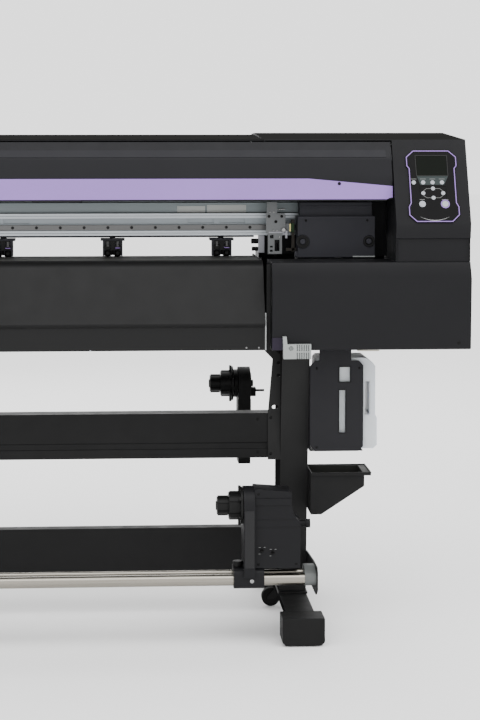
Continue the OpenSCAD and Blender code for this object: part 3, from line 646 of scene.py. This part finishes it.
def make_front_cover():
    sheet = thicken(soft_corners(COVER_PROFILE, 9), 3.0)
    shell = extruded("cover_sheet", sheet, -COVER_HALF, COVER_HALF, place_x, "cover_front", "front_cover",
                     0.5)
    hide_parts("front_cover")
    cheek = COVER_PROFILE + [(-200, 1213), (-190, 1362), (-194, 1370)]
    for side in (-1, 1):
        low, high = sorted((side * COVER_HALF, side * (COVER_HALF - 3)))
        extruded(f"cover_cheek_{'left' if side < 0 else 'right'}", cheek, low, high, place_x, "cover_front",
                 "front_cover", 0.6)
        low, high = sorted((side * COVER_HALF, side * 925))
        turned(f"cover_stud_{'left' if side < 0 else 'right'}",
               [(0, 0), (0, 3), (high - low, 3), (high - low, 0)], (low, -196, 1362), (1, 0, 0), "steel",
               "front_cover", 20)
    band = mirrored([(904, 0), (910, 3.6), (919, 4.6), (919, 36), (688, 57)])
    extruded("cover_band", band, 0.05, 0.9, on_band, "lavender", "front_cover", 0.25)
    hem = [(-245, 1213), (-244.2, 1209), (-240, 1208.2), (-232, 1208.2), (-232, 1210.5), (-239, 1210.6),
           (-242, 1213)]
    extruded("cover_hem", hem, -903, 903, place_x, "cover_front", "front_cover", 0)
    screws("cover_screws", [(x, -242.3, 1256) for x in (-772, 772)], (0, -1, 0.09), 4.6, "screw",
           "front_cover")
    # Thin strip over the cover's ledge facet in the lighter charcoal: a painted highlight where the facet
    # faces the sky.
    ledge_painted_highlight = [(-224.8, 1327.9), (-225.4, 1328.3), (-212.4, 1347.3), (-211.8, 1346.9)]
    extruded("cover_ledge_highlight_strip", ledge_painted_highlight, -903, 903, place_x, "ledge_painted_highlight", "front_cover", 0)
    handle = rounded_outline([(-70, 0), (70, 0), (62, 9), (-62, 9)], 4)
    extruded("cover_grip", handle, 0.8, 6, lambda a, b, h: on_band(a, b - 6, h - 6), "cover_front",
             "front_cover", 0.8)


# ---------------------------------------------------------------- operation panel

PANEL_X = 1021
FACE_TOP, FACE_LOW = Vector((-200, 1376)), Vector((-296, 1148))
BEZEL_X = 6.5
BEZEL_TOP = 4.0
BEZEL_HALF = [(49.5, -244), (70, -224), (70, -199), (64, -188), (64, -88), (70, -80), (70, -53), (49.5, -34)]
SMALL_KEYS = [(-45.5 + 26 * i, -128.5) for i in range(4)]
END_KEY, ENTER_KEY = (-25, -191.5), (38, -191.5)


def on_face(a, b, h):
    """a to the right on the leaning face, b up it, h out of it, from the middle of its top edge."""
    up = (FACE_TOP - FACE_LOW).normalized()
    y, z = FACE_TOP + up * b + Vector((-up[1], up[0])) * h
    return PANEL_X + a, y, z


def inset(outline, distance):
    """Outline moved inwards by a distance, corner by corner (counter-clockwise outlines)."""
    result = []
    count = len(outline)
    for i in range(count):
        here = Vector(outline[i])
        before = (here - Vector(outline[i - 1])).normalized()
        after = (Vector(outline[(i + 1) % count]) - here).normalized()
        left_before, left_after = Vector((-before[1], before[0])), Vector((-after[1], after[0]))
        bisector = (left_before + left_after).normalized()
        reach = distance / max(0.3, bisector.dot(left_after))
        result.append(tuple(here + bisector * reach))
    return result


def add_ring(work, outer, inner, low, high, place):
    """Closed band between two outlines with the same number of points."""
    rows = [[work.verts.new(Vector(place(a, b, h)) * MM) for a, b in line]
            for line, h in ((outer, low), (outer, high), (inner, high), (inner, low))]
    count = len(outer)
    for r in range(4):
        first, second = rows[r], rows[(r + 1) % 4]
        for i in range(count):
            j = (i + 1) % count
            work.faces.new((first[i], first[j], second[j], second[i]))


def ring(name, outer, width, low, high, place, material, body, slot):
    work = bmesh.new()
    add_ring(work, outer, inset(outer, width), low, high, place)
    return add_object(name, finish_mesh(name, work), material, body)


def circle(centre, radius, steps=28):
    return arc(centre, radius, 0, 360 - 360 / steps, steps - 1)


def make_panel():
    dress("operation_panel", "panel", 0.4)
    bezel = [(x + BEZEL_X, y) for x, y in mirrored(BEZEL_HALF)]
    ring("panel_outline", inset(bezel, 0.6), 2.4, BEZEL_TOP - 0.1, BEZEL_TOP + 0.5, on_face, "lavender", ROOT,
         "panel_black")
    ring("panel_edge_line", inset(bezel, -3.4), 1.0, 0, 0.7, on_face, "cover", ROOT, "cover_black")
    glass = rounded_outline([(BEZEL_X - 41, -108), (BEZEL_X + 41, -108), (BEZEL_X + 41, -51),
                             (BEZEL_X - 41, -51)], 2)
    extruded("display_glass", glass, 3.0, BEZEL_TOP + 0.25, on_face, "display", ROOT, 0.3)
    window = [(BEZEL_X - 43.6, -109.4), (BEZEL_X + 44.6, -109.4), (BEZEL_X + 44.6, -48.2),
              (BEZEL_X - 44.6, -48.2)]
    ring("display_frame", window, 1.4, BEZEL_TOP - 0.1, BEZEL_TOP + 0.35, on_face, "line_grey", ROOT,
         "panel_black")
    strip = [(-36, -110.4), (-27.5, -135.4), (38, -135.4), (50.5, -110.4)]
    extruded("function_strip", strip, BEZEL_TOP - 0.1, BEZEL_TOP + 0.2, on_face, "strip_teal", ROOT,
             0)
    marks = [((x, -118.4), 8) for x, _ in SMALL_KEYS]
    marks += [((END_KEY[0], -178.6), 7), ((ENTER_KEY[0], -178.9), 9)]
    work = bmesh.new()
    for (x, y), half in marks:
        bar = [(x - half, y - 0.8), (x + half, y - 0.8), (x + half, y + 0.8), (x - half, y + 0.8)]
        add_prism(work, bar, BEZEL_TOP, BEZEL_TOP + 0.32, on_face)
    add_object("panel_marks", finish_mesh("panel_marks", work), "line_light", ROOT)
    work = bmesh.new()
    octagon = [(-12, -173.5), (25, -173.5), (34, -166), (34, -154), (25, -146.5), (-12, -146.5), (-21, -154),
               (-21, -166)]
    add_ring(work, inset(octagon, -0.5), inset(octagon, 0.7), BEZEL_TOP - 0.1, BEZEL_TOP + 0.3, on_face)
    add_object("arrow_link", finish_mesh("arrow_link", work), "line_light", "arrow_pad")
    work = bmesh.new()
    add_ring(work, circle(ENTER_KEY, 12.2), circle(ENTER_KEY, 9.7), BEZEL_TOP - 0.1, BEZEL_TOP + 0.4, on_face)
    add_object("enter_ring", finish_mesh("enter_ring", work), "lavender", ROOT)
    curve = [(a, -238.5 + ((a - 7) / 41) ** 2 * 10.5) for a in range(-32, 47, 6)]
    lower = [(a, b - 0.3 - 1.6 * (1 - abs(a - 7) / 41)) for a, b in curve]
    extruded("panel_swoosh", lower + curve[::-1], BEZEL_TOP - 0.1, BEZEL_TOP + 0.35, on_face, "bright_screw",
             ROOT, 0)


# ---------------------------------------------------------------- beam, carriages and rollers

def make_beam_details():
    blocks("beam_labels", [((335, -44.5, 1168), (414, -44.0, 1186)),
                           ((420, -44.6, 1167), (531, -44.0, 1189))], "label", ROOT, 0)
    work = bmesh.new()
    for i in range(-15, 16):
        socket = [(0, 4.2), (0.7, 4.2), (0.7, 2.4), (-0.2, 2.2), (-0.2, 0)]
        add_turned(work, [(0.0, 0)] + socket, (RAIL_SCREW_X0 + i * RAIL_SCREW_PITCH, RAIL_FRONT, RAIL_Z),
                   FRONT, 16)
    add_object("rail_screws", finish_mesh("rail_screws", work), "screw", ROOT)
    blocks("beam_seams", [((-1019, -52.6, 1158.4), (1019, -51.9, 1159.2)),
                          ((-1019, -50.6, 1109.6), (1019, -49.9, 1110.4))], "inner", ROOT,
           0)
    work = bmesh.new()
    for z in (1086.5, 1064.6):
        radius = 7.6 if z > 1080 else 6.2
        for side in (-1, 1):
            for k in range(4):
                along = 547 + k * 4.2
                add_turned(work, [(0, radius - 1.2), (0, radius), (2.4, radius), (2.4, radius - 1.2)],
                           (side * along, -48, z), (side, 0, 0), 20)
    add_object("beam_knob_ribs", finish_mesh("beam_knob_ribs", work), "inner", ROOT)


def make_carriage_details():
    for name, x, z, radius in (("left", 681, 1091.4, 19), ("right", 866.8, 1092, 16)):
        rim = [(0, 9.4), (0.3, 9.4), (0.3, radius - 6), (1.4, radius - 5), (1.4, radius - 1),
               (0, radius - 0.4)]
        turned("carriage_ring_" + name, rim, (x, -154, z), FRONT, "hub", "print_carriage",
               40, 20)
        centre = [(0, 0), (0, 8), (2.6, 7.4), (3.0, 6), (2.4, 3), (2.4, 0)]
        turned("carriage_cap_" + name, centre, (x, -154, z), FRONT, "carriage_light", "print_carriage",
               32)
    blocks("carriage_foot", [((660, -146, 1047.5), (686, -126, 1064)),
                             ((662, -148, 1049), (672, -146, 1056))], "carriage_light", "print_carriage",
           1.2)
    blocks("carriage_wiper_strip", [((822, -151.4, 1047.4), (884, -149.8, 1050.4))], "duct", "print_carriage",
           0.3)
    blocks("carriage_top_rib", [((676, -136.5, 1186), (877, -134.8, 1190)),
                                ((668, -151, 1156), (884, -149.5, 1161.4))], "carriage_light",
           "print_carriage", 0.5)
    screws("carriage_screws", [(x, CARRIAGE_FRONT, 1150) for x in (690, 862)], FRONT, 3.4, "screw",
           "print_carriage")
    blocks("carriage_tube_post", [((655, -100, 1060), (664, -92, 1150)),
                                  ((640, -100, 1062), (668, -96, 1070))], "frame_brown", "print_carriage",
           0.6)


def make_cutter_details():
    screws("cutter_screws", [(590, CUTTER_FRONT, 1160), (626, CUTTER_FRONT, 1160),
                             (609.5, CUTTER_FRONT, 1145)], FRONT, 4.2, "screw", "cutter_carriage")
    screws("cutter_small_screws", [(593, CUTTER_FRONT, 1172), (604, CUTTER_FRONT, 1172),
                                   (603, CUTTER_FRONT, 1120), (613, CUTTER_FRONT, 1119),
                                   (620, CUTTER_FRONT, 1102), (592, CUTTER_FRONT, 1058)], FRONT, 2.2,
           "bright_screw", "cutter_carriage")
    turned("cutter_knob", [(0, 0), (0, 6), (5, 6), (6, 5), (6, 2.5), (9, 2.2), (9, 0)],
           (631, CUTTER_FRONT, 1122), FRONT, "bright_screw", "cutter_carriage", 24)
    turned("cutter_pin", [(0, 0), (0, 2.4), (21, 2.4), (22, 1.6), (22, 0)], (615, -104, 1178), (1, 0, 0.12),
           "bright_screw", "cutter_carriage", 16)
    blocks("cutter_green_board", [((653, -111, 1116), (661, -109, 1140))], "board_green", "cutter_carriage",
           0.3)
    blocks("cutter_link", [((628, -114, 1108), (644, -112.6, 1112)), ((636, -114.4, 1098), (642, -110, 1120)),
                           ((589, -114.2, 1113), (634, CUTTER_FRONT, 1117))],
           "plate", "cutter_carriage", 0.4)


def make_pinch_details():
    work = bmesh.new()
    shine = bmesh.new()
    springs = bmesh.new()
    for i in range(PINCH_COUNT):
        x = PINCH_X0 + PINCH_PITCH * i
        for side in (-14, 14):
            add_turned(work, [(0, 0), (0, 9.5), (2.4, 9.5), (3.6, 8.2), (3.6, 0)],
                       (x + side, PINCH_FRONT, 1072), FRONT, 24)
            add_turned(work, [(0, 0), (0, 5.2), (2.0, 5.2), (2.6, 4.4), (2.6, 0)],
                       (x + side, PINCH_FRONT, 1054), FRONT, 20)
            for turn in range(5):
                z = 1074 + turn * 2.9
                add_turned(springs, [(0, 3.0), (0, 4.4), (1.3, 4.4), (1.3, 3.0)], (x + side, -60, z), UP, 14)
        box_mesh(work, (x - 5, -60, 1062), (x + 5, -56.2, 1084))
        # Dark plate behind each pinch unit's window: painted shade filling the opening.
        box_mesh(work, (x - 23.8, -31, 1047), (x + 23.8, -28.6, 1063))
        box_mesh(shine, (x + 7, -60.4, 1068), (x + 21, -59.2, 1070))
        box_mesh(work, (x - 21, -58, 1083), (x + 21, -55.8, 1090))
    add_object("pinch_lobes", finish_mesh("pinch_lobes", work), "hub", "pinch_arms")
    add_object("pinch_highlights", finish_mesh("pinch_highlights", shine), "lavender", "pinch_arms")
    add_object("pinch_springs", finish_mesh("pinch_springs", springs), "steel", "pinch_arms")


# ---------------------------------------------------------------- covers, apron and ink station

def make_cover_details():
    dress("apron", "apron", 0.5,
          [("bracket_grey", lambda x, y, z, n: abs(x) > 555.9 and y > -278 and 803 <= z <= 860)])
    for side, name in SIDES:
        x0, x1 = sorted((side * 565.0, side * 568.5))
        wedge = [(-281, 803), (-277, 803), (-277, 905), (-284, 868)]
        extruded("apron_fin_" + name, wedge, x0, x1, place_x, "bracket_grey", ROOT, 0.3)
        gap = sorted((side * 569.5, side * 581))
        blocks("side_plate_" + name, [((gap[0], -276, 803), (gap[1], -272, 1038))], "frame", ROOT,
               0.5)
        strip = sorted((side * 582, side * 612))
        blocks("cover_edge_strip_" + name, [((strip[0], -309.5, 806), (strip[1], -304.4, 840))], "edge_plum",
               ROOT, 0.6)
    screws("apron_screws", [(x, -281, 810) for x in (-548, -514, 514, 548)], FRONT, 2.6, "bright_screw",
           ROOT)
    notch = [(-4, 803), (0, 806.5), (4, 803)]
    extruded("apron_mark", [(x + 89, z) for x, z in notch], -282.2, -281, place_y, "key", ROOT,
             0)
    spots = [(1098, -305.6, 881), (1094, -305.2, 823), (604, -305.8, 884)]
    screws("lower_cover_screws", spots + [(-x, y, z) for x, y, z in spots], FRONT, 5.0, "screw", ROOT)
    # Dark panels closing the carriage bays at the beam's ends: painted shade inside the bays.
    blocks("carriage_bay_shade_panels", [((583.6, -34, 1048), (696, -31, 1102.6)),
                                 ((885.5, -64.5, 1044), (932, -62, 1199)),
                                 ((-921, -34, 1048), (-583.6, -31, 1102.6))], "inner", ROOT,
           0.4)
    for side, name in SIDES:
        seams = []
        for x in (925.5, 1124.8):
            low, high = sorted((side * x, side * (x + 1.2)))
            seams.append(((low, -291, 1047), (high, -288, 1104)))
        blocks("end_seams_" + name, seams, "inner", ROOT, 0)
    lip = [(-200.4, 1376.3), (-200.4, 1379.6), (-196, 1380.4), (-196, 1377)]
    # The lip takes the lighter top material too: painted sheen along the top cover's front edge.
    extruded("top_cover_lip", lip, -567, 567, place_x, "top", ROOT, 0.3)
    step = [(-199, 1375.6), (150, 1391.6), (240, 1387.6), (255, 1372.4), (252, 1366), (238, 1380),
            (150, 1384), (-199, 1371)]
    for side, name in SIDES:
        low, high = sorted((side * 568.3, side * 571))
        extruded("top_step_closure_" + name, step, low, high, place_x, "cover", ROOT, 0)
    work = bmesh.new()
    for i in range(9):
        z = 900 + i * 16
        for side in (-1, 1):
            low, high = sorted((side * 700, side * 860))
            box_mesh(work, (low, 256, z), (high, 257.4, z + 4))
    add_object("rear_vents", finish_mesh("rear_vents", work), "inner", ROOT)


def make_rear_details():
    spots = [(side * x, REAR_WALL, z) for side in (-1, 1) for x in (940, 1110) for z in (1060, 1210, 1355)]
    spots += [(side * x, REAR_WALL, z) for side in (-1, 1) for x in (600, 1110) for z in (830, 1020)]
    spots += [(x, REAR_WALL, z) for x in (-540, -180, 180, 540) for z in (1100, 1350)]
    screws("rear_screws", spots, BACK, 4.2, "screw", ROOT)
    blocks("rear_rating_plate", [((1060, 256, 880), (1105, 256.6, 910))], "label", ROOT, 0.2)
    blocks("rear_ports", [((960, 256, 900), (1030, 259, 940)), ((968, 258, 908), (984, 260.5, 932)),
                          ((992, 258, 912), (1022, 260.5, 928))], "plate", ROOT, 0.6)
    work = bmesh.new()
    for i in range(8):
        x = -1048 + i * 48
        box_mesh(work, (x + 6, 290, 872), (x + 34, 293, 892))
        box_mesh(work, (x + 12, 290, 900), (x + 28, 291.2, 956))
    add_object("cartridge_grips", finish_mesh("cartridge_grips", work), "tank", ROOT)


# ---------------------------------------------------------------- stand

def make_stand_details():
    spots = []
    for side in (-1, 1):
        spots += [(side * x, -102, z) for x, z in ((618.6, 775), (597, 487), (597, 590))]
        spots += [(side * x, -98, z) for x, z in ((560, 492), (560, 585))]
        spots += [(side * x, -20, z) for x, z in ((610, 147), (610, 246))]
    screws("stand_screws", spots, FRONT, 4.4, "screw", ROOT)
    for side, name in SIDES:
        low, high = sorted((side * 612, side * 720))
        for end, y in (("front", -265.6), ("rear", 265.6)):
            blocks(f"shoe_rib_{name}_{end}", [((low, y, 20), (high, y + 1.2, 30))], "foot", ROOT,
                   0.4)
        cap = sorted((side * 624.5, side * 702.5))
        blocks("column_collar_" + name, [((cap[0] - 3, -80, 78), (cap[1] + 3, 63, 84))], "frame", ROOT,
               1.2)


SWITCHES = [(553.7, 259.7), (583.6, 254.2)]


def make_takeup_details():
    dress_takeup_caps()
    face = TAKEUP_FACE
    blocks("takeup_face_lines", [((535, face - 1.0, 343), (648, face, 345.2)),
                                 ((535, face - 1.0, 322), (657, face, 324.2)),
                                 ((535, face - 3.0, 384), (634, face, 402))], "cover", "takeup_unit",
           0.7)
    marks = []
    for x, z in SWITCHES:
        marks += [((x - 9, face - 0.3, z + 8), (x - 3, face, z + 9.4)),
                  ((x + 5, face - 0.3, z + 8), (x + 10, face, z + 9.4)),
                  ((x - 9, face - 0.3, z - 10), (x - 4, face, z - 8.6))]
    blocks("takeup_switch_marks", marks, "line_light", "takeup_unit", 0)
    for letter, (x, z) in zip("ab", SWITCHES):
        turned("switch_collar_" + letter, [(0, 2.0), (0, 5.6), (3.4, 5.6), (3.9, 5.0), (3.9, 2.0)],
               (x, face, z), FRONT, "screw", "takeup_unit", 6, 20)
    screws("takeup_screws", [(x, face, z) for x, z in ((545, 222), (648, 222), (545, 415))], FRONT, 3.6,
           "screw", "takeup_unit")
    for side, name, body in ((1, "right", "takeup_unit"), (-1, "left", "takeup_idler")):
        screws("clamp_screw_" + name, [(side * 526, -331, 178)], FRONT, 5.5, "bright_screw", body)
        low, high = sorted((side * 506, side * 532))
        # Thin plate in the lighter charcoal on the arm's front: painted highlight of its lit rounded edge.
        blocks("arm_edge_highlight_" + name, [((low, -339.2, 215), (high, -337.6, 372))], "arm_edge_painted_highlight", body,
               0.6)
        knob = [(0, 0), (0, 13), (2, 14), (14, 14), (16, 12.5), (16, 0)]
        turned("clamp_knob_" + name, knob, (side * 490, -285, 209), UP, "hub", body, 18, 20)


def dress_takeup_caps():
    dress("tube_brackets", "frame", 0.8,
          [("grey_cap", lambda x, y, z, n: 671 < abs(x) < 702.4)])


# ---------------------------------------------------------------- waste tank

def make_tank_details():
    front = -140
    rib = rounded_outline([(735, 520), (848, 520), (848, 745), (735, 745)], 10)
    work = bmesh.new()
    add_ring(work, rib, inset(rib, 4), front - 0.2, front + 0.6, place_y)
    add_object("tank_seam", finish_mesh("tank_seam", work), "tank", "waste_ink_tank")
    loop = rounded_outline([(855, 598), (876, 598), (876, 700), (855, 700)], 6)
    work = bmesh.new()
    for y in (-140.6, -24.6):
        add_ring(work, loop, inset(loop, 3), y, y + 0.6, place_y)
    add_object("tank_handle_lip", finish_mesh("tank_handle_lip", work), "tank", "waste_ink_tank")
    work = bmesh.new()
    for i in range(24):
        a = 2 * math.pi * i / 24
        x, y = 775 + 22 * math.cos(a), -82 + 22 * math.sin(a)
        add_turned(work, [(0, 0), (0, 1.2), (15, 1.2), (15, 0)], (x, y, 765), UP, 6)
    add_object("tank_cap_grip", finish_mesh("tank_cap_grip", work), "duct", "waste_ink_tank")
    window = [(785.4, 553.6), (802.6, 553.6), (802.6, 673.4), (785.4, 673.4)]
    frame_line = [(785.4, 696.6), (815.6, 696.6), (815.6, 738.4), (785.4, 738.4)]
    work = bmesh.new()
    for line in (window, frame_line):
        add_ring(work, inset(line, -3), line, -154, -152.6, place_y)
    add_object("window_frames", finish_mesh("window_frames", work), "cover", ROOT)
    screws("bracket_screws", [(x, -153, z) for x, z in ((722, 735), (722, 512), (842, 735))], FRONT, 3.4,
           "screw", ROOT)
    rim = [(702.6, -190.5), (871.5, -190.5), (871.5, -57.5), (702.6, -57.5)]
    work = bmesh.new()
    add_ring(work, rim, inset(rim, 3), 444.5, 447.5, place_z)
    add_object("tray_rim", finish_mesh("tray_rim", work), "frame", ROOT)


# ---------------------------------------------------------------- rear roll holders

def make_roll_holder_details():
    for side, name in SIDES:
        body = "roll_holder_" + name
        low, high = sorted((side * 527.5, side * 566.5))
        pads = [((low, 213, 520), (high, 214.4, 596)), ((low, 285.6, 520), (high, 287, 596))]
        blocks("holder_ribs_" + name, pads, "frame", body, 0.5)
        thread = bmesh.new()
        for i in range(8):
            add_turned(thread, [(0, 2.5), (0.8, 4.1), (1.6, 2.5)], (side * (585 + i * 3), ROLL_AXIS_Y, 617),
                       (side, 0, 0), 16)
        add_object("holder_thread_" + name, finish_mesh("holder_thread_" + name, thread), "bright_screw",
                   body)
        bore = [(0, 33), (2.2, 33), (2.2, 28), (1.0, 27), (1.0, 14), (0, 13.5)]
        turned("holder_bearing_" + name, bore, (side * 566, ROLL_AXIS_Y, ROLL_AXIS_Z), (side, 0, 0), "hub",
               body, 36)


# ---------------------------------------------------------------- the model


make_materials()
make_camera()
make_stage()
dress_frame()
dress_working_parts()
dress_panel_keys()
make_front_cover()
make_panel()
make_beam_details()
make_carriage_details()
make_cutter_details()
make_pinch_details()
make_cover_details()
make_rear_details()
make_stand_details()
make_takeup_details()
make_tank_details()
make_roll_holder_details()
